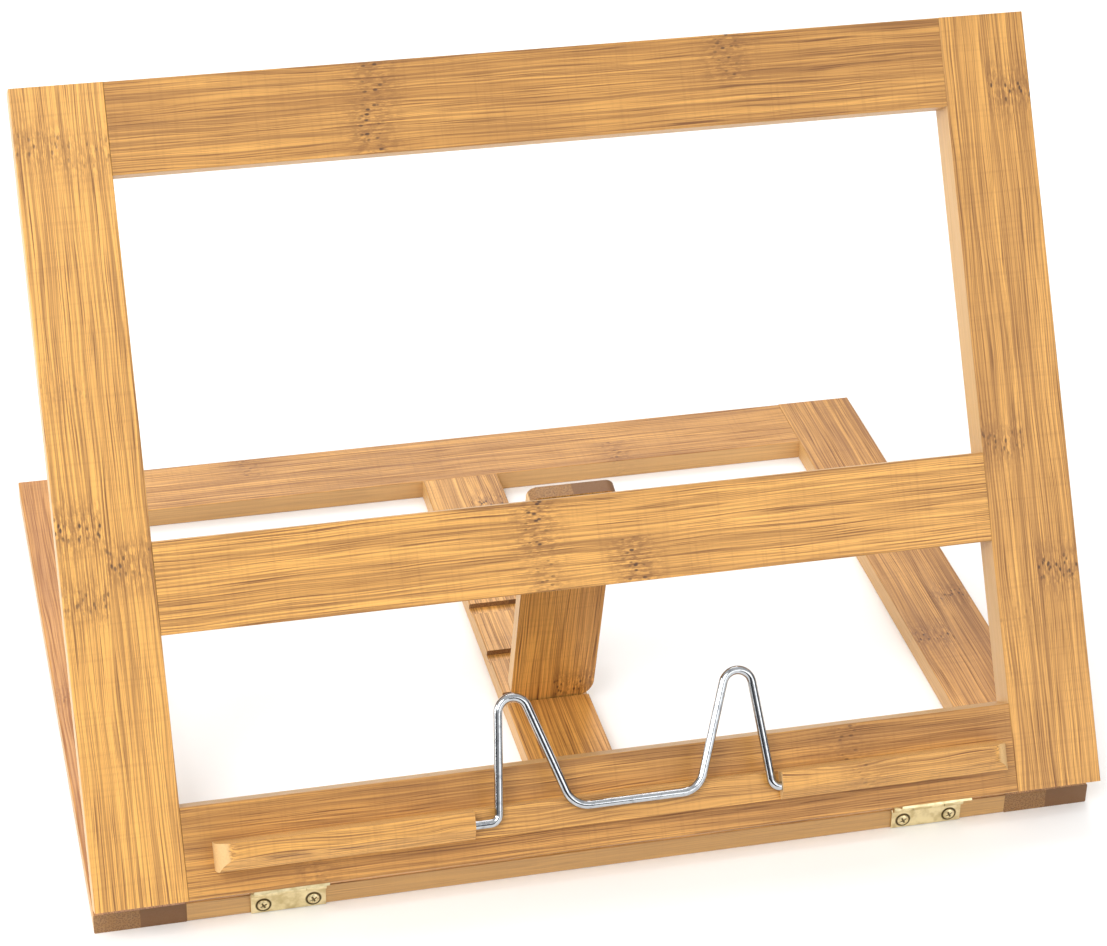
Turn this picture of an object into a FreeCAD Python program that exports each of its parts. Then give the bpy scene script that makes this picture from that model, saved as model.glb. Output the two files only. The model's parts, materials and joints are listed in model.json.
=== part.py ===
import FreeCAD, Part
import math
import os

from FreeCAD import Placement, Rotation, Vector

# Folding photo album stand in bamboo: a flat base frame, a front frame hinged to its front edge,
# a prop slat that stands in one of three grooves, and a sprung wire that holds the pages.
# Millimetres. The origin is the middle of the base's underside: +X to the right, +Y to the back, +Z up.

doc = FreeCAD.newDocument("PhotoAlbumStand")

# ---------------------------------------------------------------- driving sizes
SIZES = [
    ("stand_width", 340.0),
    ("base_depth", 266.0),
    ("frame_height", 262.0),
    ("board_width", 30.0),
    ("base_thickness", 7.5),
    ("frame_thickness", 12.0),
    ("edge_round", 0.5),
    ("tilt_angle", 57.8),
    ("middle_rail_low", 85.0),
    # grooves across the centre bar, each from the base's front face to the groove's front wall
    ("centre_bar_width", 30.0),
    ("groove_near", 85.5),
    ("groove_mid", 111.7),
    ("groove_far", 142.2),
    ("groove_play", 1.3),
    ("groove_depth", 2.0),
    # prop slat
    ("prop_width", 30.0),
    ("prop_thickness", 5.3),
    ("prop_corner", 8.0),
    ("prop_top_corner", 3.5),
    ("prop_shift", 1.4),
    ("prop_overhang", 1.4),
    ("foot_clearance", 0.3),
    # ledge on the bottom rail, with a shallow recess for the wire
    ("ledge_low", 8.8),
    ("ledge_height", 9.2),
    ("ledge_depth", 12.0),
    ("ledge_length", 266.0),
    ("ledge_centre", 2.1),
    ("ledge_chamfer", 3.9),
    ("ledge_end_round", 7.0),
    ("recess_length", 103.0),
    ("recess_centre", 4.0),
    ("recess_depth", 5.0),
    # page wire
    ("wire_diameter", 2.9),
    ("wire_clearance", 0.08),
    ("wire_centre", 6.5),
    ("wire_seat", 6.0),
    ("wire_play", 4.0),
    ("wire_pivot_rise", 4.6),
    ("wire_leg_offset", 46.0),
    ("wire_leg_lean", 5.4),
    ("wire_inner_lean", 19.0),
    ("wire_bar_rise", 2.0),
    ("wire_bar_half", 21.2),
    ("wire_elbow_radius", 3.0),
    ("wire_loop_radius", 5.0),
    ("wire_bar_radius", 8.0),
    # brass butt hinges between base and front frame
    ("hinge_left", -107.0),
    ("hinge_right", 111.5),
    ("hinge_length", 24.6),
    ("hinge_knuckle", 11.0),
    ("leaf_thickness", 0.8),
    ("leaf_margin", 0.4),
    ("barrel_radius", 1.4),
    ("pin_radius", 0.7),
    ("pin_clearance", 0.05),
    ("knuckle_gap", 0.2),
    ("hinge_clearance", 0.3),
    ("pin_rise", 1.5),
    ("pin_inset", 1.25),
    # small hinge between middle rail and prop
    ("prop_hinge_length", 20.0),
    ("prop_hinge_knuckle", 8.0),
    ("prop_leaf_height", 16.0),
    ("prop_pin_drop", 1.6),
    # screws
    ("screw_spacing", 16.4),
    ("screw_radius", 1.0),
    ("screw_length", 8.0),
    ("screw_head_radius", 2.0),
    ("screw_head_height", 0.8),
    ("screw_slot", 0.6),
    ("small_screw_spacing", 11.0),
    ("small_screw_radius", 0.8),
    ("small_screw_head", 1.6),
    ("small_screw_length", 4.2),
    # hidden dowels in the corner joints
    ("frame_dowel_radius", 3.0),
    ("base_dowel_radius", 2.0),
    ("dowel_half", 12.0),
    ("dowel_spacing", 15.0),
]

sheet = doc.addObject("Spreadsheet::Sheet", "Sizes")
for row, (alias, value) in enumerate(SIZES, start=1):
    sheet.set("A%d" % row, alias)
    sheet.set("B%d" % row, repr(value))
    sheet.setAlias("B%d" % row, alias)

# ---------------------------------------------------------------- places worked out from the sizes
# The frame is drawn flat, with X across, Y up its face and Z out of its front, about the hinge pin.
# The prop is drawn the same way about its own pin.
PLACES = [
    ("front_face", "-Sizes.base_depth / 2"),
    ("half_inner", "Sizes.stand_width / 2 - Sizes.board_width"),
    ("pin_y", "-Sizes.base_depth / 2 - Sizes.barrel_radius"),
    ("pin_z", "Sizes.base_thickness + Sizes.pin_rise"),
    ("frame_low", "Sizes.barrel_radius + Sizes.hinge_clearance"),
    ("frame_back", "-Sizes.pin_inset"),
    ("frame_front", "Sizes.frame_thickness - Sizes.pin_inset"),
    ("prop_pin_up", "frame_low + Sizes.middle_rail_low + Sizes.board_width - Sizes.prop_pin_drop"),
    ("prop_pin_out", "-Sizes.pin_inset - Sizes.barrel_radius - Sizes.hinge_clearance"),
    ("tilt_cos", "cos(Sizes.tilt_angle * 1 deg)"),
    ("tilt_sin", "sin(Sizes.tilt_angle * 1 deg)"),
    ("prop_y", "pin_y + prop_pin_up * tilt_cos - prop_pin_out * tilt_sin"),
    ("prop_z", "pin_z + prop_pin_up * tilt_sin + prop_pin_out * tilt_cos"),
    ("groove_width", "Sizes.prop_thickness + Sizes.groove_play"),
    ("foot_y", "front_face + Sizes.groove_near + groove_width"
               " - Sizes.foot_clearance - Sizes.prop_thickness"),
    ("foot_z", "Sizes.base_thickness - Sizes.groove_depth + Sizes.foot_clearance"),
    ("foot_reach", "sqrt((foot_y - prop_y) ^ 2 + (prop_z - foot_z) ^ 2)"),
    ("prop_drop", "sqrt(foot_reach ^ 2 - Sizes.barrel_radius ^ 2)"),
    ("prop_turn", "90 + (atan2(foot_y - prop_y; prop_z - foot_z)"
                  " - asin(Sizes.barrel_radius / foot_reach)) / 1 deg"),
    ("ledge_bottom", "frame_low + Sizes.ledge_low"),
    ("ledge_left", "Sizes.ledge_centre - Sizes.ledge_length / 2"),
    ("recess_left", "Sizes.recess_centre - Sizes.recess_length / 2"),
    ("recess_right", "Sizes.recess_centre + Sizes.recess_length / 2"),
    ("wire_up", "ledge_bottom + Sizes.wire_pivot_rise"),
    ("wire_out", "frame_front + Sizes.ledge_depth - Sizes.recess_depth / 2"),
]

places = doc.addObject("Spreadsheet::Sheet", "Places")
for row, (alias, formula) in enumerate(PLACES, start=1):
    places.set("A%d" % row, alias)
    places.set("B%d" % row, "=" + formula)
    places.setAlias("B%d" % row, alias)
doc.recompute()

KNOWN = {alias: "Sizes." + alias for alias, _ in SIZES}
KNOWN.update({alias: "Places." + alias for alias, _ in PLACES})


def expr(text):
    """Writes each plain size name in a formula as the cell that holds it."""
    out = ""
    word = ""
    for letter in text + " ":
        if letter.isalnum() or letter == "_":
            word += letter
            continue
        out += KNOWN.get(word, word) + letter
        word = ""
    return out.strip()


def size(alias):
    """The number that a cell holds now."""
    home, name = KNOWN[alias].split(".")
    value = getattr(doc.getObject(home), name)
    return float(getattr(value, "Value", value))


def bind(thing, **formulas):
    """Ties properties to formulas in the size names; at_x, at_y and at_z are the place."""
    for key, formula in formulas.items():
        path = "Placement.Base." + key[3:] if key.startswith("at_") else key
        thing.setExpression(path, expr(formula))


TURNS = {"x": Rotation(Vector(0, 1, 0), 90), "y": Rotation(Vector(1, 0, 0), -90), "z": Rotation()}


def box(name, lengths, corner):
    thing = doc.addObject("Part::Box", name)
    bind(thing, Length=lengths[0], Width=lengths[1], Height=lengths[2])
    bind(thing, at_x=corner[0], at_y=corner[1], at_z=corner[2])
    return thing


def rod(name, radius, length, start, along):
    """A round bar that starts at a point and runs along +X, +Y or +Z."""
    thing = doc.addObject("Part::Cylinder", name)
    thing.Placement = Placement(Vector(), TURNS[along])
    bind(thing, Radius=radius, Height=length)
    bind(thing, at_x=start[0], at_y=start[1], at_z=start[2])
    return thing


def union(name, things):
    if len(things) == 1:
        return things[0]
    thing = doc.addObject("Part::MultiFuse", name)
    thing.Shapes = things
    return thing


def group(name, things):
    thing = doc.addObject("Part::Compound", name)
    thing.Links = things
    return thing


def cut(name, base, tools):
    thing = doc.addObject("Part::Cut", name)
    thing.Base = base
    thing.Tool = union(name + "_tools", tools)
    return thing


def edges_where(shape, test):
    return [i for i, edge in enumerate(shape.Edges, start=1) if test(edge)]


def runs_along(edge, axis):
    direction = edge.Vertexes[-1].Point - edge.Vertexes[0].Point
    return direction.Length > 0 and abs(direction.normalize()[axis]) > 0.999


def round_edges(name, base, radius, test):
    doc.recompute()
    thing = doc.addObject("Part::Fillet", name)
    thing.Base = base
    thing.Edges = [(i, radius, radius) for i in edges_where(base.Shape, test)]
    return thing


NODES = []


def node(label, thing, body):
    """Names a finished piece and puts it where its body stands."""
    thing.Label = label
    if body == "frame":
        thing.Placement = Placement(Vector(), Rotation(Vector(1, 0, 0), 1))
        bind(thing, at_y="pin_y", at_z="pin_z")
        thing.setExpression("Placement.Rotation.Angle", expr("tilt_angle"))
    elif body == "prop":
        thing.Placement = Placement(Vector(), Rotation(Vector(1, 0, 0), 1))
        bind(thing, at_y="prop_y", at_z="prop_z")
        thing.setExpression("Placement.Rotation.Angle", expr("prop_turn"))
    NODES.append(thing)
    return thing


def board(name, lengths, corner, axis):
    """A sawn board with its four long edges eased."""
    blank = box(name + "_blank", lengths, corner)
    return round_edges(name + "_eased", blank, size("edge_round"), lambda e: runs_along(e, axis))


def joint_holes(name, radius, spots, along):
    """Dowel rods centred on each spot, used as pins and as the holes they sit in."""
    rods = []
    for i, (x, y, z) in enumerate(spots):
        start = {"x": ("(%s) - dowel_half" % x, y, z), "y": (x, "(%s) - dowel_half" % y, z)}[along]
        rods.append(rod("%s_%d" % (name, i), radius, "2 * dowel_half", start, along))
    return rods


def pair_of_spots(x, y, z, spread):
    """Two places half a dowel spacing either side of a middle point."""
    spots = []
    for sign in ("-", "+"):
        step = " %s dowel_spacing / 2" % sign
        spots.append((x + step, y, z) if spread == "x" else (x, y + step, z))
    return spots


# ---------------------------------------------------------------- screws
def screw(name, head_at, into, small=False):
    """A slotted screw. head_at is the face that the head sits on, into is 'y' or 'z' with its sign."""
    sign = -1 if into[0] == "-" else 1
    axis = into[1]
    turns = {"y": -90 * sign, "z": 0 if sign > 0 else 180}
    prefix = "small_screw" if small else "screw"
    shank = doc.addObject("Part::Cylinder", name + "_shank")
    bind(shank, Radius=prefix + "_radius", Height=prefix + "_length")
    head = doc.addObject("Part::Cone", name + "_head")
    if small:
        # countersunk: the wide end is flush with the leaf
        bind(head, Radius1="small_screw_head", Radius2="small_screw_radius", Height="leaf_thickness")
    else:
        bind(head, Radius1="screw_head_radius * 0.7", Radius2="screw_head_radius")
        bind(head, Height="screw_head_height", at_z="-screw_head_height")
    slot = doc.addObject("Part::Box", name + "_slot")
    wide = "small_screw_head" if small else "screw_head_radius"
    bind(slot, Length="2 * " + wide, Width="screw_slot", Height="screw_head_height / 2")
    bind(slot, at_x="-" + wide, at_y="-screw_slot / 2", at_z="0" if small else "-screw_head_height")
    whole = cut(name, union(name + "_solid", [shank, head]), [slot])
    whole.Placement = Placement(Vector(), Rotation(Vector(1, 0, 0), turns[axis]))
    bind(whole, at_x=head_at[0], at_y=head_at[1], at_z=head_at[2])
    return whole


def screw_hole(name, head_at, into, small=False):
    """The shank's own space, run a little past the head so that it also pierces the leaf."""
    prefix = "small_screw" if small else "screw"
    sign = -1 if into[0] == "-" else 1
    spot = list(head_at)
    place = {"y": 1, "z": 2}[into[1]]
    if sign < 0:
        spot[place] = "(%s) - %s_length" % (spot[place], prefix)
    return rod(name, prefix + "_radius", prefix + "_length", spot, into[1])


# ---------------------------------------------------------------- base frame
MID_BASE = "base_thickness / 2"
base_spots = []
for side in ("-", ""):
    for row_y in ("front_face + board_width / 2", "-front_face - board_width / 2"):
        base_spots += pair_of_spots(side + "half_inner", row_y, MID_BASE, "y")
bar_spots = []
for row_y in ("front_face + board_width", "-front_face - board_width"):
    bar_spots += pair_of_spots("0", row_y, MID_BASE, "x")


def base_dowels(name):
    across = joint_holes(name + "_x", "base_dowel_radius", base_spots, "x")
    lengthwise = joint_holes(name + "_y", "base_dowel_radius", bar_spots, "y")
    return across + lengthwise


HINGES = [("left", "hinge_left"), ("right", "hinge_right")]
SIDES = [("a", "- screw_spacing / 2"), ("b", "+ screw_spacing / 2")]


def base_screw_spots():
    spots = []
    for side, middle in HINGES:
        for end, shift in SIDES:
            spot = (middle + shift, "front_face - leaf_thickness", "base_thickness / 2 - leaf_margin")
            spots.append((side + end, spot))
    return spots


base_screws = [screw("base_screw_" + tag, spot, "+y") for tag, spot in base_screw_spots()]


def base_screw_holes(name):
    return [screw_hole("%s_%s" % (name, tag), spot, "+y") for tag, spot in base_screw_spots()]


for side, corner in (("left", "-stand_width / 2"), ("right", "half_inner")):
    name = "base_%s_bar" % side
    blank = board(name, ("board_width", "base_depth", "base_thickness"), (corner, "front_face", "0"), 1)
    node(name, cut(name, blank, base_dowels(name + "_hole")), "base")

for side, corner in (("front", "front_face"), ("rear", "-front_face - board_width")):
    name = "base_%s_rail" % side
    blank = board(name, ("2 * half_inner", "board_width", "base_thickness"), ("-half_inner", corner, "0"), 0)
    holes = base_dowels(name + "_hole")
    if side == "front":
        holes += base_screw_holes(name + "_screw")
    node(name, cut(name, blank, holes), "base")

bar = board("notched_centre_bar", ("centre_bar_width", "base_depth - 2 * board_width", "base_thickness"),
            ("-centre_bar_width / 2", "front_face + board_width", "0"), 1)
grooves = [box("groove_" + which, ("centre_bar_width + 2", "groove_width", "groove_depth + 1"),
               ("-centre_bar_width / 2 - 1", "front_face + groove_" + which,
                "base_thickness - groove_depth"))
           for which in ("near", "mid", "far")]
node("notched_centre_bar", cut("notched_centre_bar", bar, grooves + base_dowels("bar_hole")), "base")
node("base_dowels", group("base_dowels", base_dowels("base_dowel")), "base")

# ---------------------------------------------------------------- front frame
FRAME_MIDDLE = "(frame_front + frame_back) / 2"
RAILS = [("bottom_rail", "frame_low"), ("middle_rail", "frame_low + middle_rail_low"),
         ("top_rail", "frame_low + frame_height - board_width")]
frame_spots = []
for side in ("-", ""):
    for _, low in RAILS:
        frame_spots += pair_of_spots(side + "half_inner", low + " + board_width / 2", FRAME_MIDDLE, "y")


def frame_dowels(name):
    return joint_holes(name, "frame_dowel_radius", frame_spots, "x")


def frame_screw_spots():
    spots = []
    for side, middle in HINGES:
        for end, shift in SIDES:
            out = "(frame_low + frame_front - leaf_margin) / 2"
            spots.append((side + end, (middle + shift, "frame_low - leaf_thickness", out)))
    return spots


PROP_SIDES = [("a", "- small_screw_spacing / 2"), ("b", "small_screw_spacing / 2")]


def rail_screw_spots():
    low = "prop_pin_up - prop_leaf_height * 0.7"
    return [(end, (shift, low, "frame_back - leaf_thickness")) for end, shift in PROP_SIDES]


frame_screws = [screw("frame_screw_" + tag, spot, "+y") for tag, spot in frame_screw_spots()]
rail_screws = [screw("rail_screw_" + tag, spot, "+z", True) for tag, spot in rail_screw_spots()]

for side, corner in (("left", "-stand_width / 2"), ("right", "half_inner")):
    name = side + "_stile"
    lengths = ("board_width", "frame_height", "frame_thickness")
    blank = board(name, lengths, (corner, "frame_low", "frame_back"), 1)
    node(name, cut(name, blank, frame_dowels(name + "_hole")), "frame")

for name, low in RAILS:
    lengths = ("2 * half_inner", "board_width", "frame_thickness")
    blank = board(name, lengths, ("-half_inner", low, "frame_back"), 0)
    holes = frame_dowels(name + "_hole")
    if name == "bottom_rail":
        holes += [screw_hole("bottom_hole_" + tag, spot, "+y") for tag, spot in frame_screw_spots()]
    if name == "middle_rail":
        holes += [screw_hole("middle_hole_" + tag, spot, "+z", True) for tag, spot in rail_screw_spots()]
    node(name, cut(name, blank, holes), "frame")
node("frame_dowels", group("frame_dowels", frame_dowels("frame_dowel")), "frame")

# ---------------------------------------------------------------- ledge
ledge_blank = box("ledge_blank", ("ledge_length", "ledge_height", "ledge_depth"),
                  ("ledge_left", "ledge_bottom", "frame_front"))
ledge_bar = box("ledge_bar", ("ledge_length", "ledge_height", "ledge_depth"),
                ("ledge_left", "ledge_bottom", "frame_front"))
front_z = size("frame_front") + size("ledge_depth")
low_y = size("ledge_bottom")
ledge_round = round_edges("ledge_round", ledge_blank,
                          min(size("ledge_end_round"), size("ledge_depth") - 0.5),
                          lambda e: runs_along(e, 1) and abs(e.CenterOfMass.z - front_z) < 0.01)
ledge_low_edge = edges_where(ledge_bar.Shape,
                             lambda e: runs_along(e, 0) and abs(e.CenterOfMass.z - front_z) < 0.01
                             and abs(e.CenterOfMass.y - low_y) < 0.01)
ledge_bevel = doc.addObject("Part::Chamfer", "ledge_bevel")
ledge_bevel.Base = ledge_bar
bevel = min(size("ledge_chamfer"), size("ledge_height") - 0.5)
ledge_bevel.Edges = [(i, bevel, bevel) for i in ledge_low_edge]
ledge_strip = doc.addObject("Part::MultiCommon", "ledge_strip")
ledge_strip.Shapes = [ledge_round, ledge_bevel]
recess = box("ledge_recess", ("recess_length", "ledge_height + 2", "recess_depth + 1"),
             ("recess_left", "ledge_bottom - 1", "frame_front + ledge_depth - recess_depth"))
wire_hole = rod("wire_hole", "wire_diameter / 2 + wire_clearance",
                "recess_length + 2 * (wire_seat + wire_play)",
                ("recess_left - wire_seat - wire_play", "wire_up", "wire_out"), "x")
node("book_ledge", cut("book_ledge", ledge_strip, [recess, wire_hole]), "frame")


# ---------------------------------------------------------------- page wire
def rounded_path(corners, origin):
    """Straight runs joined by tangent arcs. corners holds (x, y, radius) about an origin."""
    points = [origin + Vector(x, y, 0) for x, y, _ in corners]
    edges = []
    start = points[0]
    for i in range(1, len(points) - 1):
        before = (points[i - 1] - points[i]).normalize()
        after = (points[i + 1] - points[i]).normalize()
        half = before.getAngle(after) / 2
        radius = corners[i][2]
        back = radius / math.tan(half)
        first = points[i] + before * back
        last = points[i] + after * back
        centre = points[i] + (before + after).normalize() * (radius / math.sin(half))
        middle = centre + (points[i] - centre).normalize() * radius
        edges.append(Part.makeLine(start, first))
        edges.append(Part.Arc(first, middle, last).toShape())
        start = last
    edges.append(Part.makeLine(start, points[-1]))
    return Part.Wire(edges)


def page_wire_shape():
    """The wire about its pivot line, X across and Y up the frame's face."""
    leg = math.tan(math.radians(size("wire_leg_lean")))
    inner = math.tan(math.radians(size("wire_inner_lean")))
    foot = size("wire_leg_offset")
    bar_x, bar_y = size("wire_bar_half"), size("wire_bar_rise")
    # the two slanted runs of one loop, drawn on until they meet
    top_y = (foot - bar_x + inner * bar_y) / (leg + inner)
    top_x = foot - leg * top_y
    shift = size("wire_centre") - size("recess_centre")
    end = size("recess_length") / 2 + size("wire_seat")
    half = [(foot, 0, size("wire_elbow_radius")), (top_x, top_y, size("wire_loop_radius")),
            (bar_x, bar_y, size("wire_bar_radius"))]
    left = [(-x, y, r) for x, y, r in half]
    corners = [(-end - shift, 0, 0)] + left + half[::-1] + [(end - shift, 0, 0)]
    middle = Vector(size("wire_centre"), size("wire_up"), size("wire_out"))
    path = rounded_path(corners, middle)
    start = middle + Vector(-end - shift, 0, 0)
    ring = Part.Wire(Part.makeCircle(size("wire_diameter") / 2, start, Vector(1, 0, 0)))
    return path.makePipeShell([ring], True, False)


page_wire = doc.addObject("Part::Feature", "page_wire")
page_wire.Shape = page_wire_shape()
node("page_wire", page_wire, "frame")


# ---------------------------------------------------------------- hinges
def knuckles(name, spans, up, out, bore):
    """Barrel pieces round a pin that runs along X at height up and depth out."""
    pieces = []
    bores = []
    for i, (start, length) in enumerate(spans):
        pieces.append(rod("%s_barrel_%d" % (name, i), "barrel_radius", length, (start, up, out), "x"))
        past = ("(%s) - 1" % start, up, out)
        bores.append(rod("%s_bore_%d" % (name, i), bore, "(%s) + 2" % length, past, "x"))
    return pieces, bores


def hinge_spans(middle, length, knuckle):
    """The middle knuckle's span, and the two outer ones with a gap to it."""
    inner = [("%s - %s / 2" % (middle, knuckle), knuckle)]
    side = "(%s - %s) / 2 - knuckle_gap" % (length, knuckle)
    outer = [("%s - %s / 2" % (middle, length), side),
             ("%s + %s / 2 + knuckle_gap" % (middle, knuckle), side)]
    return inner, outer


def leaf(name, spans, plate_at, webs, pin_at, bore, holes):
    """One leaf: a plate clear of the barrel, a web to each of its knuckles, and the knuckles."""
    barrels, bores = knuckles(name, spans, pin_at[0], pin_at[1], bore)
    plate = box(name + "_plate", plate_at[0], plate_at[1])
    joins = [box("%s_web_%d" % (name, i), (length, web[0][0], web[0][1]), (start, web[1][0], web[1][1]))
             for i, ((start, length), web) in enumerate(zip(spans, webs))]
    return cut(name, union(name + "_solid", [plate] + joins + barrels), bores + holes)


CLEAR = "(barrel_radius + hinge_clearance)"
RUNNING = "pin_radius + pin_clearance"

for side, middle in HINGES:
    inner, outer = hinge_spans(middle, "hinge_length", "hinge_knuckle")
    left = middle + " - hinge_length / 2"
    # base leaf: down the front face of the base, with the middle knuckle
    name = side + "_hinge_base_leaf"
    holes = [screw_hole("%s_hole_%s" % (name, tag), spot, "+y")
             for tag, spot in base_screw_spots() if tag.startswith(side)]
    plate = (("hinge_length", "leaf_thickness", "pin_z - %s - leaf_margin" % CLEAR),
             (left, "front_face - leaf_thickness", "leaf_margin"))
    web = (("leaf_thickness", "%s + 0.5" % CLEAR),
           ("front_face - leaf_thickness", "pin_z - %s - 0.5" % CLEAR))
    node(name, leaf(name, inner, plate, [web], ("pin_y", "pin_z"), "pin_radius", holes), "base")
    # pin, held by the base leaf
    pin = rod(side + "_hinge_pin", "pin_radius", "hinge_length", (left, "pin_y", "pin_z"), "x")
    node(side + "_hinge_pin", pin, "base")
    # frame leaf: forward along the bottom edge of the front frame, with the two outer knuckles
    name = side + "_hinge_frame_leaf"
    holes = [screw_hole("%s_hole_%s" % (name, tag), spot, "+y")
             for tag, spot in frame_screw_spots() if tag.startswith(side)]
    plate = (("hinge_length", "leaf_thickness", "frame_front - leaf_margin - %s" % CLEAR),
             (left, "frame_low - leaf_thickness", CLEAR))
    web = (("leaf_thickness", "%s + 0.5" % CLEAR), ("frame_low - leaf_thickness", "0"))
    node(name, leaf(name, outer, plate, [web, web], ("0", "0"), RUNNING, holes), "frame")

node("base_hinge_screws", group("base_hinge_screws", base_screws), "base")
node("frame_hinge_screws", group("frame_hinge_screws", frame_screws), "frame")

# small hinge behind the middle rail: the rail leaf has the two outer knuckles and holds the pin
inner, outer = hinge_spans("0", "prop_hinge_length", "prop_hinge_knuckle")
holes = [screw_hole("rail_leaf_hole_" + tag, spot, "+z", True) for tag, spot in rail_screw_spots()]
seats = [screw("rail_leaf_seat_" + tag, spot, "+z", True) for tag, spot in rail_screw_spots()]
plate = (("prop_hinge_length", "prop_leaf_height - %s" % CLEAR, "leaf_thickness"),
         ("-prop_hinge_length / 2", "prop_pin_up - prop_leaf_height", "frame_back - leaf_thickness"))
web = (("%s + 0.5" % CLEAR, "leaf_thickness"),
       ("prop_pin_up - %s - 0.5" % CLEAR, "frame_back - leaf_thickness"))
rail_leaf = leaf("prop_hinge_rail_leaf", outer, plate, [web, web], ("prop_pin_up", "prop_pin_out"),
                 "pin_radius", holes + seats)
node("prop_hinge_rail_leaf", rail_leaf, "frame")
pin = rod("prop_pin_rod", "pin_radius", "prop_hinge_length",
          ("-prop_hinge_length / 2", "prop_pin_up", "prop_pin_out"), "x")
node("prop_hinge_pin", group("prop_hinge_pin", [pin]), "frame")
node("prop_hinge_rail_screws", group("prop_hinge_rail_screws", rail_screws), "frame")

# ---------------------------------------------------------------- prop slat, drawn about its pin
prop_blank = box("prop_blank", ("prop_width", "prop_drop + prop_overhang", "prop_thickness"),
                 ("prop_shift - prop_width / 2", "-prop_drop", "-barrel_radius - prop_thickness"))
most = size("prop_width") / 2 - 0.5
prop_foot = round_edges("prop_foot", prop_blank, min(size("prop_corner"), most),
                        lambda e: runs_along(e, 2) and e.CenterOfMass.y < 0)
prop_round = round_edges("prop_round", prop_foot, min(size("prop_top_corner"), most),
                         lambda e: runs_along(e, 2) and e.CenterOfMass.y > 0)


def prop_screw_spots():
    low = "-prop_leaf_height * 0.7"
    return [(end, (shift, low, "leaf_thickness - barrel_radius")) for end, shift in PROP_SIDES]


prop_screws = [screw("prop_screw_" + tag, spot, "-z", True) for tag, spot in prop_screw_spots()]
holes = [screw_hole("prop_hole_" + tag, spot, "-z", True) for tag, spot in prop_screw_spots()]
# the slat's top end is relieved over the hinge, so that the barrel and the rail leaf's knuckles clear it
relief = rod("prop_relief", "barrel_radius + hinge_clearance", "prop_hinge_length + 1",
             ("-prop_hinge_length / 2 - 0.5", "0", "0"), "x")
node("prop_slat", cut("prop_slat", prop_round, holes + [relief]), "prop")

holes = [screw_hole("prop_leaf_hole_" + tag, spot, "-z", True) for tag, spot in prop_screw_spots()]
seats = [screw("prop_leaf_seat_" + tag, spot, "-z", True) for tag, spot in prop_screw_spots()]
plate = (("prop_hinge_length", "prop_leaf_height - %s" % CLEAR, "leaf_thickness"),
         ("-prop_hinge_length / 2", "-prop_leaf_height", "-barrel_radius"))
web = (("%s + 0.5" % CLEAR, "leaf_thickness"), ("-%s - 0.5" % CLEAR, "-barrel_radius"))
prop_leaf = leaf("prop_hinge_prop_leaf", inner, plate, [web], ("0", "0"), RUNNING, holes + seats)
node("prop_hinge_prop_leaf", prop_leaf, "prop")
node("prop_hinge_prop_screws", group("prop_hinge_prop_screws", prop_screws), "prop")

# ---------------------------------------------------------------- check and write
doc.recompute()
for thing in doc.Objects:
    if "Invalid" in thing.State or "Error" in thing.State:
        raise RuntimeError("%s did not rebuild: %s" % (thing.Name, thing.State))
os.makedirs("parts", exist_ok=True)
for thing in NODES:
    shape = thing.Shape
    if shape.isNull() or not shape.isValid():
        raise RuntimeError("%s has no valid shape" % thing.Label)
    shape.exportStep("parts/%s.step" % thing.Label)
    limits = shape.BoundBox
    print("%-24s solids %2d  volume %9.1f  y %7.1f..%7.1f  z %6.1f..%6.1f" % (
        thing.Label, len(shape.Solids), shape.Volume, limits.YMin, limits.YMax, limits.ZMin, limits.ZMax))
print("prop turn %.2f  prop pin y %.2f z %.2f  drop %.2f" % (
    size("prop_turn"), size("prop_y"), size("prop_z"), size("prop_drop")))
print("wire pivot up %.2f out %.2f" % (size("wire_up"), size("wire_out")))
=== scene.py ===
import bpy
import json
import math
import numpy as np
from mathutils import Matrix, Vector


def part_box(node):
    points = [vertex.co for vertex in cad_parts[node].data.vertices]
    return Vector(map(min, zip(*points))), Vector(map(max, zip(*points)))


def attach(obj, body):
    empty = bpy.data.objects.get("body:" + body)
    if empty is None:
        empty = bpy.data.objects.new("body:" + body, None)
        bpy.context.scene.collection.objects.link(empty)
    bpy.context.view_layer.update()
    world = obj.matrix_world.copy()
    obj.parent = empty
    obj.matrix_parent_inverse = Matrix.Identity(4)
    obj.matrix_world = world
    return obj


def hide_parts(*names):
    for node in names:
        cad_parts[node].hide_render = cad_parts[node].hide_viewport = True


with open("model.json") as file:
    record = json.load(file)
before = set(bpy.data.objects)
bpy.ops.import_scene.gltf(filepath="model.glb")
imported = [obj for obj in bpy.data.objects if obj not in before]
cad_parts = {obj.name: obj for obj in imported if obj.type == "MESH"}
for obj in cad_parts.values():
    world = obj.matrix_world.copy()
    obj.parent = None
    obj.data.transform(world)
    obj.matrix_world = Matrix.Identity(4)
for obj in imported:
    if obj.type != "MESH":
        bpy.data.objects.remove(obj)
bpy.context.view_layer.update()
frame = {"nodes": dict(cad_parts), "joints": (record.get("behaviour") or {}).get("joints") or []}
print("frame loaded:", len(frame["nodes"]), "pieces")

joints = {j["name"]: j for j in frame["joints"]}
tilt = math.radians(57.8)  # how steeply the front frame stands at rest
upTilt = Vector((0, math.cos(tilt), math.sin(tilt)))
outTilt = Vector((0, -math.sin(tilt), math.cos(tilt)))
acrossX, backY, upZ = Vector((1, 0, 0)), Vector((0, 1, 0)), Vector((0, 0, 1))


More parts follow.
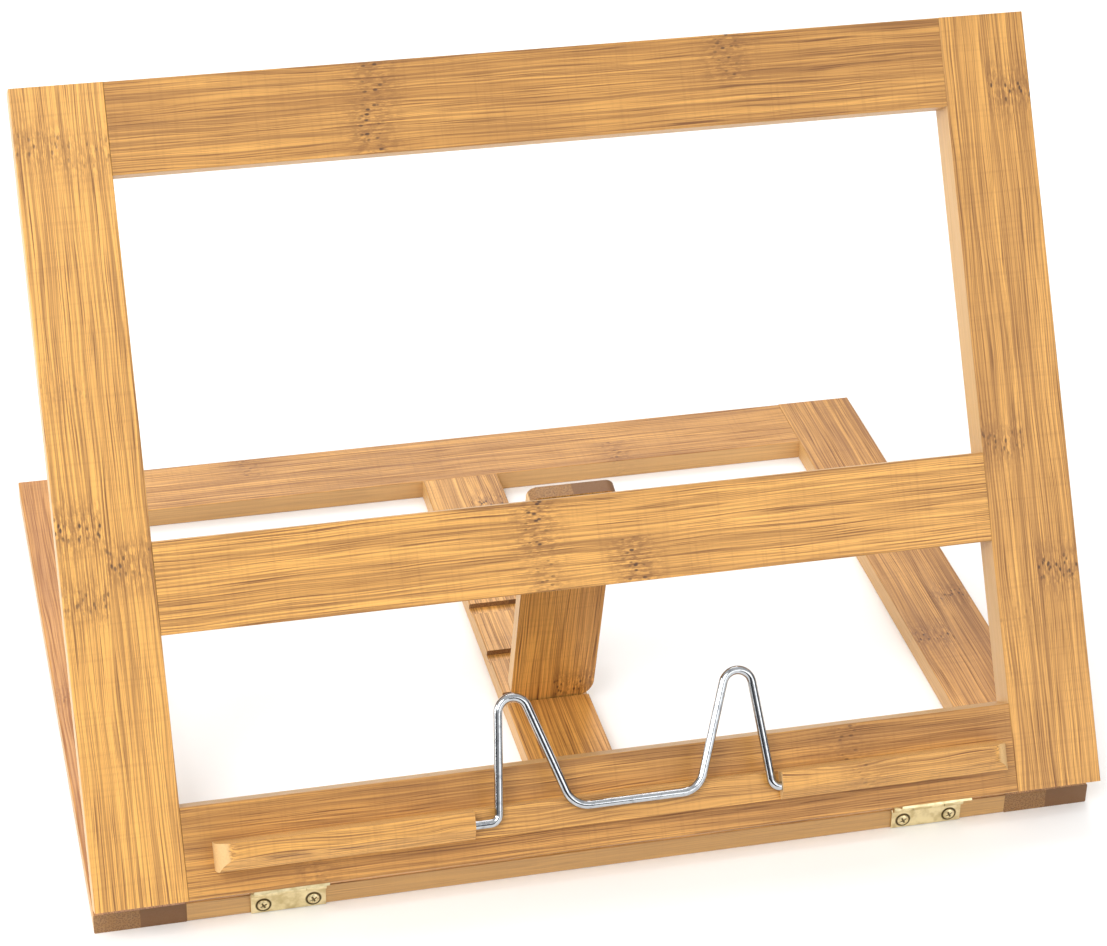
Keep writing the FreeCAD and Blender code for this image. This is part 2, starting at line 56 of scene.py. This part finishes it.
# shader maths as plain expressions: each sum or product of wires adds its own nodes
class Wire:
    def __init__(self, sheet, socket):
        self.sheet = sheet
        self.socket = socket

    def maths(self, how, other=None, swap=False):
        pair = [self] if other is None else ([other, self] if swap else [self, other])
        return self.sheet.add("ShaderNodeMath", {"operation": how}, dict(enumerate(pair)))

    def __add__(self, other): return self.maths("ADD", other)
    def __radd__(self, other): return self.maths("ADD", other, True)
    def __sub__(self, other): return self.maths("SUBTRACT", other)
    def __rsub__(self, other): return self.maths("SUBTRACT", other, True)
    def __mul__(self, other): return self.maths("MULTIPLY", other)
    def __rmul__(self, other): return self.maths("MULTIPLY", other, True)
    def __truediv__(self, other): return self.maths("DIVIDE", other)
    def __abs__(self): return self.maths("ABSOLUTE")
    def floor(self): return self.maths("FLOOR")
    def power(self, other): return self.maths("POWER", other)
    def highest(self, other): return self.maths("MAXIMUM", other)

    def ramp(self, low, high, smooth=True):  # 0 below low, 1 above high
        kind = "SMOOTHSTEP" if smooth else "LINEAR"
        return self.sheet.add("ShaderNodeMapRange", {"interpolation_type": kind, "clamp": True},
                              {"Value": self, "From Min": low, "From Max": high})


class Sheet:
    def __init__(self, name):
        self.material = bpy.data.materials.new(name)
        self.material.use_nodes = True
        self.tree = self.material.node_tree
        self.tree.nodes.clear()

    def add(self, kind, settings=None, values=None, out=0):
        made = self.tree.nodes.new(kind)
        for key, value in (settings or {}).items():
            setattr(made, key, value)
        for key, value in (values or {}).items():
            socket = made.inputs[key]
            if isinstance(value, Wire):
                self.tree.links.new(value.socket, socket)
            else:
                socket.default_value = value
        return Wire(self, made.outputs[out])

    def dot(self, vector, direction):
        return self.add("ShaderNodeVectorMath", {"operation": "DOT_PRODUCT"},
                        {0: vector, 1: tuple(direction)}, "Value")

    def joined(self, x, y, z):
        return self.add("ShaderNodeCombineXYZ", {}, {"X": x, "Y": y, "Z": z})

    def noise(self, where, detail=2.0, rough=0.5):
        return self.add("ShaderNodeTexNoise", {"noise_dimensions": "3D"},
                        {"Vector": where, "Scale": 1.0, "Detail": detail, "Roughness": rough}, "Fac")

    def mix(self, amount, first, second):
        return self.add("ShaderNodeMix", {"data_type": "RGBA"}, {0: amount, 6: first, 7: second}, 2)

    def finish(self, colour, rough, bump=None, metal=0.0, coat=0.0, coatRough=0.2, strength=0.3,
               depth=0.0002, specular=0.5):
        values = {"Base Color": colour, "Roughness": rough, "Metallic": metal,
                  "Coat Weight": coat, "Coat Roughness": coatRough, "Specular IOR Level": specular}
        if bump is not None:
            values["Normal"] = self.add("ShaderNodeBump", {}, {
                "Strength": strength, "Distance": depth, "Height": bump})
        shader = self.add("ShaderNodeBsdfPrincipled", {}, values)
        output = self.tree.nodes.new("ShaderNodeOutputMaterial")
        self.tree.links.new(shader.socket, output.inputs["Surface"])
        return self.material


# bamboo: strips pressed side by side, with fine fibres along them and a joint of the cane here and there
# (colours are linear; endPale and endDark are for sawn ends; the side colour is painted light, a pale colour
# laid on the long sides for the bright light they catch from the left)
bamboo = {
    "strip": 15.0,  # mm across one laminated strip
    "pale": (0.800, 0.415, 0.098),
    "honey": (0.375, 0.168, 0.034),
    "fibre": (0.185, 0.070, 0.015),
    "dark": (0.050, 0.016, 0.006),
    "side": (0.860, 0.560, 0.240),
    # painted highlight colour: the pale tone the long sides are painted with for the light from the left
    "endPale": (0.420, 0.235, 0.090),
    "endDark": (0.190, 0.090, 0.034),
    "red": (0.470, 0.130, 0.028),
    "rough": 0.40,
}


def rgba(colour):
    return (*colour, 1)


def bambooBoard(name, origin, along, across, seed, canes=(), light=0.5, red=0.0, strip=None, side=0.0,
                wild=0.0):
    # places on the board in millimetres: l along it, a across its face, d through it
    s = Sheet(name)
    through = along.cross(across)
    place = s.add("ShaderNodeTexCoord", {}, {}, "Object")
    normal = s.add("ShaderNodeTexCoord", {}, {}, "Normal")
    l = s.dot(place, along * 1000) - along.dot(origin) * 1000
    a = s.dot(place, across * 1000) - across.dot(origin) * 1000
    d = s.dot(place, through * 1000) - through.dot(origin) * 1000
    shift = seed * 37.3
    width = strip or bamboo["strip"]
    number = (a / width).floor()
    # each strip has its own tone and its own fibres
    own = s.add("ShaderNodeTexWhiteNoise", {"noise_dimensions": "1D"}, {"W": number * 1.37 + seed * 3.1})
    wander = s.noise(s.joined(l * 0.014 + shift, a * 0.09 + number * 5.0, d * 0.08), 2.0) - 0.5
    row = a + wander * (3.0 + wild)
    fine = s.noise(s.joined(l * 0.014 + shift, row * 2.20 + number * 9.0, d * 2.20), 2.0, 0.62)
    coarse = s.noise(s.joined(l * 0.006 + shift, row * 0.42 + number * 7.0, d * 0.42), 2.0, 0.55)
    cloud = s.noise(s.joined(l * 0.022 + shift, a * 0.06 + number * 3.0, d * 0.06), 3.0, 0.5)
    dash = s.noise(s.joined(l * 0.040 + shift, row * 2.60 + number * 4.0, d * 2.60 + 40.0), 1.0, 0.5)
    saw = s.noise(s.joined(l * 0.85 + shift, a * 0.05, d * 0.05), 1.0, 0.5)
    hair = dash.ramp(0.56, 0.68)
    # joints of the cane: (strip, place along, strength)
    speckle = s.noise(s.joined(l * 0.30 + shift, a * 1.10, d * 1.10), 2.0, 0.7)
    pores = s.add("ShaderNodeTexVoronoi", {"voronoi_dimensions": "3D", "feature": "F1"},
                  {"Vector": s.joined(l * 0.34 + shift, a * 0.66, d * 0.66), "Scale": 1.0}, "Distance")
    bend = (s.noise(s.joined(a * 0.22 + shift, d * 0.3, number * 11.0), 2.0) - 0.5) * 9.0
    band, spots = None, None
    for which, spot, force in canes:
        mine = (1.0 - abs(number - which).ramp(0.2, 0.6)) * force
        near = (1.0 - abs(l + bend - spot).ramp(1.0, 15.0)) * mine
        core = (1.0 - abs(l + bend * 0.5 - spot).ramp(1.0, 6.5)) * mine
        band = near if band is None else band.highest(near)
        spots = core if spots is None else spots.highest(core)
    tone = (own - 0.5) * 0.22 + (cloud - 0.5) * 0.9 + (coarse - 0.5) * 1.35 + light
    colour = s.mix(tone.ramp(0.0, 1.0, False), rgba(bamboo["honey"]), rgba(bamboo["pale"]))
    streak = fine.ramp(0.38, 0.64) * 0.62 + hair * 0.42
    colour = s.mix(streak, colour, rgba(bamboo["fibre"]))
    colour = s.mix((saw - 0.5).highest(0.0) * 0.5, colour, rgba(bamboo["fibre"]))
    height = fine * -0.5 - hair * 0.5
    if band is not None:
        colour = s.mix(band * speckle.ramp(0.40, 0.60) * 0.60, colour, rgba(bamboo["fibre"]))
        pit = spots * (1.0 - pores.ramp(0.16, 0.36))
        colour = s.mix(pit * 0.88, colour, rgba(bamboo["dark"]))
        height = height - pit * 2.0
    if red:
        colour = s.mix(red, colour, rgba(bamboo["red"]))
    if side:  # painted highlight: the long sides are painted paler, standing in for the light from the left
        flat = abs(s.dot(normal, through)).ramp(0.3, 0.8)
        colour = s.mix((1.0 - flat) * side, colour, rgba(bamboo["side"]))
    # glue line between strips
    seam = abs(a / width - number - 0.5).ramp(0.480, 0.499)
    colour = s.mix(seam * 0.30, colour, rgba(bamboo["fibre"]))
    # sawn ends show the fibres as dots
    end = abs(s.dot(normal, along)).ramp(0.30, 0.55)
    dots = s.add("ShaderNodeTexVoronoi", {"voronoi_dimensions": "2D", "feature": "F1"},
                 {"Vector": s.joined(a * 1.35 + shift, d * 1.6, 0.0), "Scale": 1.0}, "Distance")
    endCloud = s.noise(s.joined(a * 0.30 + shift, d * 0.5, number), 2.0)
    endColour = s.mix(dots.ramp(0.16, 0.50), rgba(bamboo["endDark"]), rgba(bamboo["endPale"]))
    endColour = s.mix(endCloud.ramp(0.35, 0.7) * 0.4, endColour, rgba(bamboo["honey"]))
    # every second lamination is cut from a paler part of the cane
    endColour = s.mix(abs(number - 1.0).ramp(0.2, 0.8) * 0.55, rgba(bamboo["endDark"]), endColour)
    if wild:  # painted highlight: the ends are painted part way to the pale side colour
        endColour = s.mix(0.60, endColour, rgba(bamboo["side"]))
    colour = s.mix(end, colour, endColour)
    rough = bamboo["rough"] + streak * 0.20 + (coarse - 0.5) * 0.10 + end * 0.2
    height = height * (1.0 - end) + dots * end
    return s.finish(colour, rough, height, coat=0.10, coatRough=0.30, strength=0.40, depth=0.00015)


def paint(node, material):
    mesh = frame["nodes"][node].data
    mesh.materials.clear()
    mesh.materials.append(material)


half = 0.170  # half the width of the stand
board = 0.030  # width of one board
hinge = Vector(joints["frame_tilt"]["pos_m"])
frameFoot = hinge + upTilt * 0.0017 - outTilt * 0.00125  # back bottom edge of the front frame

stiles = {
    "left_stile": {"x": -half, "seed": 1, "light": 0.98, "side": 0.75,
                   "canes": [(0, 243, 0.7), (1, 240, 0.6), (0, 165, 0.3),
                             (1, 110, 0.9), (0, 121, 1.0), (0, 98, 0.7)]},
    "right_stile": {"x": half - board, "seed": 2, "light": 0.60, "side": 0.75,
                    "canes": [(1, 236, 1.0), (0, 118, 0.8), (1, 74, 1.0), (0, 60, 0.3)]},
}
for node, look in stiles.items():
    start = frameFoot + acrossX * look["x"]
    paint(node, bambooBoard(node + "_bamboo", start, upTilt, acrossX, look["seed"], look["canes"],
                            look["light"], side=look["side"]))

rails = {
    "top_rail": {"v": 0.232, "seed": 3, "light": 0.46, "canes": [(0, 84, 1.0), (1, 86, 0.9), (1, 205, 0.9)]},
    "middle_rail": {"v": 0.085, "seed": 4, "light": 0.84,
                    "canes": [(1, 124, 1.0), (0, 126, 0.7), (0, 157, 1.0)]},
    "bottom_rail": {"v": 0.0, "seed": 5, "light": 0.42, "canes": [(1, 222, 0.6), (0, 40, 0.6)]},
}
for node, look in rails.items():
    start = frameFoot + acrossX * (board - half) + upTilt * look["v"]
    paint(node, bambooBoard(node + "_bamboo", start, acrossX, upTilt, look["seed"], look["canes"],
                            look["light"], side=0.6))

baseBoards = {
    "base_left_bar": {"seed": 6, "along": backY, "across": acrossX, "light": 0.48, "red": 0.22,
                      "canes": [(0, 120, 0.6)]},
    "base_right_bar": {"seed": 7, "along": backY, "across": acrossX, "light": 0.50, "red": 0.06,
                       "canes": [(0, 96, 1.0), (1, 120, 0.8)]},
    "base_front_rail": {"seed": 8, "along": acrossX, "across": backY, "light": 0.75, "red": 0.05,
                        "canes": [(0, 250, 0.8)]},
    "base_rear_rail": {"seed": 9, "along": acrossX, "across": backY, "light": 0.66, "red": 0.08,
                       "canes": [(1, 60, 0.6), (0, 205, 0.7)]},
    "notched_centre_bar": {"seed": 10, "along": backY, "across": acrossX, "light": 0.70, "red": 0.04,
                           "canes": [(1, 12, 0.8), (1, 185, 1.0)]},
}
for node, look in baseBoards.items():
    paint(node, bambooBoard(node + "_bamboo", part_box(node)[0], look["along"], look["across"], look["seed"],
                            look["canes"], look["light"], look["red"], side=0.55))

propLow = Vector(joints["prop_swing"]["pos_m"])
propTurn = math.radians(102.87)
propUp = Vector((0, math.cos(propTurn), math.sin(propTurn)))
paint("prop_slat", bambooBoard("prop_slat_bamboo", propLow - acrossX * 0.0136 - propUp * 0.102, propUp,
                               acrossX, 11, [(1, 7, 0.9)], 1.0, 0.0, side=0.85))
paint("book_ledge", bambooBoard("book_ledge_bamboo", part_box("book_ledge")[0], acrossX, upTilt, 12,
                                [(0, 214, 0.5)], 0.62, strip=30.0, side=0.3, wild=5.0))
for node, seed in (("base_dowels", 13), ("frame_dowels", 14)):
    paint(node, bambooBoard(node + "_bamboo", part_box(node)[0], acrossX, backY, seed))
print("boards painted")


# brass hinges and screws, chromed page wire
hingeLook = {
    "middles": (-0.107, 0.1115),  # hinge centres across the stand
    "screwSpacing": 0.0164,
    "screwZ": 0.00335,
    "leaf": 0.0008,  # thickness of a leaf
    "ring": (1.85, 2.65),  # mm, the painted shadow ring round each head
}


def brass(name, ringed=False, recessed=False):
    s = Sheet(name)
    place = s.add("ShaderNodeTexCoord", {}, {}, "Object")
    patches = s.noise(s.add("ShaderNodeMapping", {}, {"Vector": place, "Scale": (260, 260, 260)}), 3.0)
    brush = s.noise(s.add("ShaderNodeMapping", {}, {"Vector": place, "Scale": (220, 4200, 4200)}), 2.0)
    colour = s.mix(patches.ramp(0.35, 0.7), (0.86, 0.74, 0.46, 1), (0.60, 0.48, 0.25, 1))
    height = brush
    # painted shadow: a dark ring is painted round each screw head on the base leaf, where the heads cast
    # shadow
    if ringed:
        x, z = s.dot(place, acrossX * 1000), s.dot(place, upZ * 1000)
        ring = None
        for middle in hingeLook["middles"]:
            for sign in (-1, 1):
                dx = x - (middle + sign * hingeLook["screwSpacing"] / 2) * 1000
                dz = z - hingeLook["screwZ"] * 1000
                away = (dx * dx + dz * dz).power(0.5)
                mark = away.ramp(hingeLook["ring"][0] - 0.1, hingeLook["ring"][0] + 0.1) * (
                    1.0 - away.ramp(hingeLook["ring"][1] - 0.2, hingeLook["ring"][1] + 0.2))
                ring = mark if ring is None else ring.highest(mark)
        colour = s.mix(ring * 0.92, colour, (0.05, 0.03, 0.01, 1))
        height = height - ring * 6.0
    if recessed:
        # painted shade: the cross recess of each screw head is painted dark
        recessShade = s.add("ShaderNodeAttribute", {"attribute_name": "recess"}, {}, "Fac")
        colour = s.mix(recessShade * 0.9, colour, (0.05, 0.03, 0.01, 1))
    return s.finish(colour, 0.26 + patches * 0.16 + brush * 0.10, height, 1.0, strength=0.20, depth=0.00005)


def chrome(name):
    s = Sheet(name)
    place = s.add("ShaderNodeTexCoord", {}, {}, "Object")
    haze = s.noise(s.add("ShaderNodeMapping", {}, {"Vector": place, "Scale": (500, 500, 500)}), 3.0)
    colour = s.mix(haze.ramp(0.45, 0.75), (0.48, 0.50, 0.52, 1), (0.32, 0.33, 0.35, 1))
    return s.finish(colour, 0.05 + haze * 0.06, haze, 1.0, strength=0.06, depth=0.00004)


hingeBrass = brass("hinge_brass_metal")
ringedBrass = brass("base_leaf_brass", True)
screwBrass = brass("screw_brass", recessed=True)
wireChrome = chrome("wire_chrome_metal")
for node in frame["nodes"]:
    if "hinge" in node:
        paint(node, ringedBrass if node.endswith("base_leaf") else hingeBrass)
paint("page_wire", wireChrome)

screwHead = {
    "radius": 0.00198, "height": 0.00078,  # the domed head
    "arm": 0.00026, "reach": 0.00120, "recess": 0.00042,  # half width, length and depth of the cross
    "shank": 0.001,
    "turn": 0.5,  # radians, how the cross stands
    "rings": 30, "turns": 72,
}


# Screw head: rings round an axis. Height over the seat is a flattened dome (the head's height times the
# root of one less 0.96 times the radius, as a share of the rim's, to the power 2.6), less a cross that
# fades out softly at the sides of its arms and at their tips. A short shank closes it underneath.
def screwSurface(spots, outward, sideways):
    outward, sideways = np.array(outward), np.array(sideways)
    third = np.cross(outward, sideways)
    turns = screwHead["turns"]
    t = np.linspace(0, 1, screwHead["rings"])[1:]
    angle = np.arange(turns) * 2 * np.pi / turns
    r = screwHead["radius"] * t[:, None]
    u, v = r * np.cos(angle + screwHead["turn"]), r * np.sin(angle + screwHead["turn"])
    far = np.minimum(np.hypot(u, v) / screwHead["reach"], 3)
    arm = np.minimum(np.abs(r * np.cos(angle)), np.abs(r * np.sin(angle)))
    cross = 1 / (1 + np.exp((arm - screwHead["arm"]) / 0.00004)) / (1 + np.exp((far - 1) * 18))
    dome = screwHead["height"] * np.sqrt(np.maximum(1 - 0.96 * t[:, None] ** 2.6, 0))
    high = dome - screwHead["recess"] * cross
    edge = np.stack([u[-1], v[-1], np.zeros(turns)], -1)
    neck = edge * 0.5  # the shank is half as wide as the head
    grid = np.concatenate([np.stack([u, v, high], -1), edge[None], neck[None],
                           (neck - [0, 0, screwHead["shank"]])[None]])
    count = len(grid)
    top = np.array([[0, 0, screwHead["height"] - screwHead["recess"]]])
    low = np.array([[0, 0, -screwHead["shank"]]])
    local = np.concatenate([top, grid.reshape(-1, 3), low])
    i, j = np.meshgrid(np.arange(count - 1), np.arange(turns), indexing="ij")
    nextJ = (j + 1) % turns
    quads = np.stack([1 + i * turns + j, 1 + (i + 1) * turns + j, 1 + (i + 1) * turns + nextJ,
                      1 + i * turns + nextJ], -1).reshape(-1, 4)
    k = np.arange(turns)
    cap = np.stack([np.zeros(turns, int), 1 + k, 1 + (k + 1) % turns], -1)
    last = 1 + (count - 1) * turns
    base = np.stack([np.full(turns, len(local) - 1), last + (k + 1) % turns, last + k], -1)
    # the cross mask is kept per point, so the recess can be painted dark as shade
    recessShade = np.concatenate([[1.0], cross.reshape(-1), np.zeros(len(local) - 1 - cross.size)])
    points, faces = [], []
    for spot in spots:
        shift = len(points) * len(local)
        points.append(np.array(spot) + local @ np.stack([sideways, third, outward]))
        faces += (quads + shift).tolist() + (cap + shift).tolist() + (base + shift).tolist()
    return np.concatenate(points), faces, np.tile(recessShade, len(spots))


def makeScrewHeads(name, surface, body, node):
    points, faces, recessShade = surface
    mesh = bpy.data.meshes.new(name)
    mesh.from_pydata(points.tolist(), [], faces)
    mesh.polygons.foreach_set("use_smooth", [True] * len(mesh.polygons))
    mesh.attributes.new("recess", "FLOAT", "POINT").data.foreach_set("value", recessShade)
    mesh.materials.append(screwBrass)
    mesh.update()
    made = bpy.data.objects.new(name, mesh)
    bpy.context.scene.collection.objects.link(made)
    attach(made, body)
    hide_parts(node)


screwXs = [m + sign * hingeLook["screwSpacing"] / 2 for m in hingeLook["middles"] for sign in (-1, 1)]
leafFront = -0.133 - hingeLook["leaf"]  # outer face of the base leaves
baseSpots = [(x, leafFront, hingeLook["screwZ"]) for x in screwXs]
makeScrewHeads("base_screw_heads", screwSurface(baseSpots, (0, -1, 0), (1, 0, 0)),
               "base_frame", "base_hinge_screws")
leafMiddle = hinge + upTilt * 0.0009 + outTilt * 0.006025  # on the underside of the frame leaves
frameSpots = [tuple(leafMiddle + acrossX * x) for x in screwXs]
makeScrewHeads("frame_screw_heads", screwSurface(frameSpots, tuple(-upTilt), (1, 0, 0)),
               "front_frame", "frame_hinge_screws")
print("metals painted, screw heads made")


# floor, light and camera
reach = 6.0  # half the floor's width
floorMesh = bpy.data.meshes.new("floor")
floorMesh.from_pydata([(-reach, -reach, 0), (reach, -reach, 0), (reach, reach, 0), (-reach, reach, 0)],
                      [], [(0, 1, 2, 3)])
floorMesh.materials.append(Sheet("paper").finish((0.93, 0.93, 0.92, 1), 0.85, specular=0.2))
floor = bpy.data.objects.new("floor", floorMesh)
bpy.context.scene.collection.objects.link(floor)

# the sky is bright overhead and dim near the horizon, so metal has something to show
skyLook = {"stops": [(0.0, (0.75, 0.75, 0.75)), (0.50, (0.12, 0.12, 0.13)), (0.66, (0.10, 0.10, 0.11)),
                     (0.76, (0.80, 0.80, 0.80)), (1.0, (1.0, 1.0, 1.0))], "strength": 0.84}
world = bpy.data.worlds.new("sky")
bpy.context.scene.world = world
world.use_nodes = True
nodes, links = world.node_tree.nodes, world.node_tree.links
skyRamp = nodes.new("ShaderNodeValToRGB")
while len(skyRamp.color_ramp.elements) < len(skyLook["stops"]):
    skyRamp.color_ramp.elements.new(0.5)
for stop, (where, colour) in zip(skyRamp.color_ramp.elements, skyLook["stops"]):
    stop.position = where
    stop.color = (*colour, 1)
skyPlace = nodes.new("ShaderNodeTexCoord")
skySplit = nodes.new("ShaderNodeSeparateXYZ")
skyRise = nodes.new("ShaderNodeMapRange")
skyRise.inputs["From Min"].default_value = -1.0
links.new(skyPlace.outputs["Generated"], skySplit.inputs[0])
links.new(skySplit.outputs["Z"], skyRise.inputs["Value"])
links.new(skyRise.outputs[0], skyRamp.inputs["Fac"])
links.new(skyRamp.outputs[0], nodes["Background"].inputs["Color"])
nodes["Background"].inputs["Strength"].default_value = skyLook["strength"]

lamps = {
    "keyLamp": {"place": (-0.9, -1.3, 1.7), "size": 1.0, "power": 29.0},
    "leftLamp": {"place": (-1.7, 0.1, 0.55), "size": 0.9, "power": 16.0},
    "fillLamp": {"place": (0.9, -1.5, 0.7), "size": 1.2, "power": 9.0},
    "backLamp": {"place": (0.2, 1.4, 1.6), "size": 1.2, "power": 19.0},
}
for name, lamp in lamps.items():
    light = bpy.data.lights.new(name, "AREA")
    light.size = lamp["size"]
    light.energy = lamp["power"]
    shine = bpy.data.objects.new(name, light)
    shine.location = lamp["place"]
    aim = Vector((0, -0.03, 0.08)) - Vector(lamp["place"])
    shine.rotation_euler = aim.to_track_quat("-Z", "Y").to_euler()
    bpy.context.scene.collection.objects.link(shine)
bpy.context.scene.view_settings.view_transform = "Standard"

cameraLook = {
    "place": (-0.21973, -0.91178, 0.65694),
    "right": (0.97248, -0.23181, 0.02353),
    "up": (0.10317, 0.51895, 0.84855),
    "back": (-0.20891, -0.82277, 0.52859),
    "lens": 101.0,
}
lens = bpy.data.cameras.new("camera")
lens.sensor_width = 36.0
lens.lens = cameraLook["lens"]
camera = bpy.data.objects.new("camera", lens)
turn = Matrix((cameraLook["right"], cameraLook["up"], cameraLook["back"])).transposed()
camera.matrix_world = Matrix.Translation(cameraLook["place"]) @ turn.to_4x4()
bpy.context.scene.collection.objects.link(camera)
bpy.context.scene.camera = camera
print("stage ready")
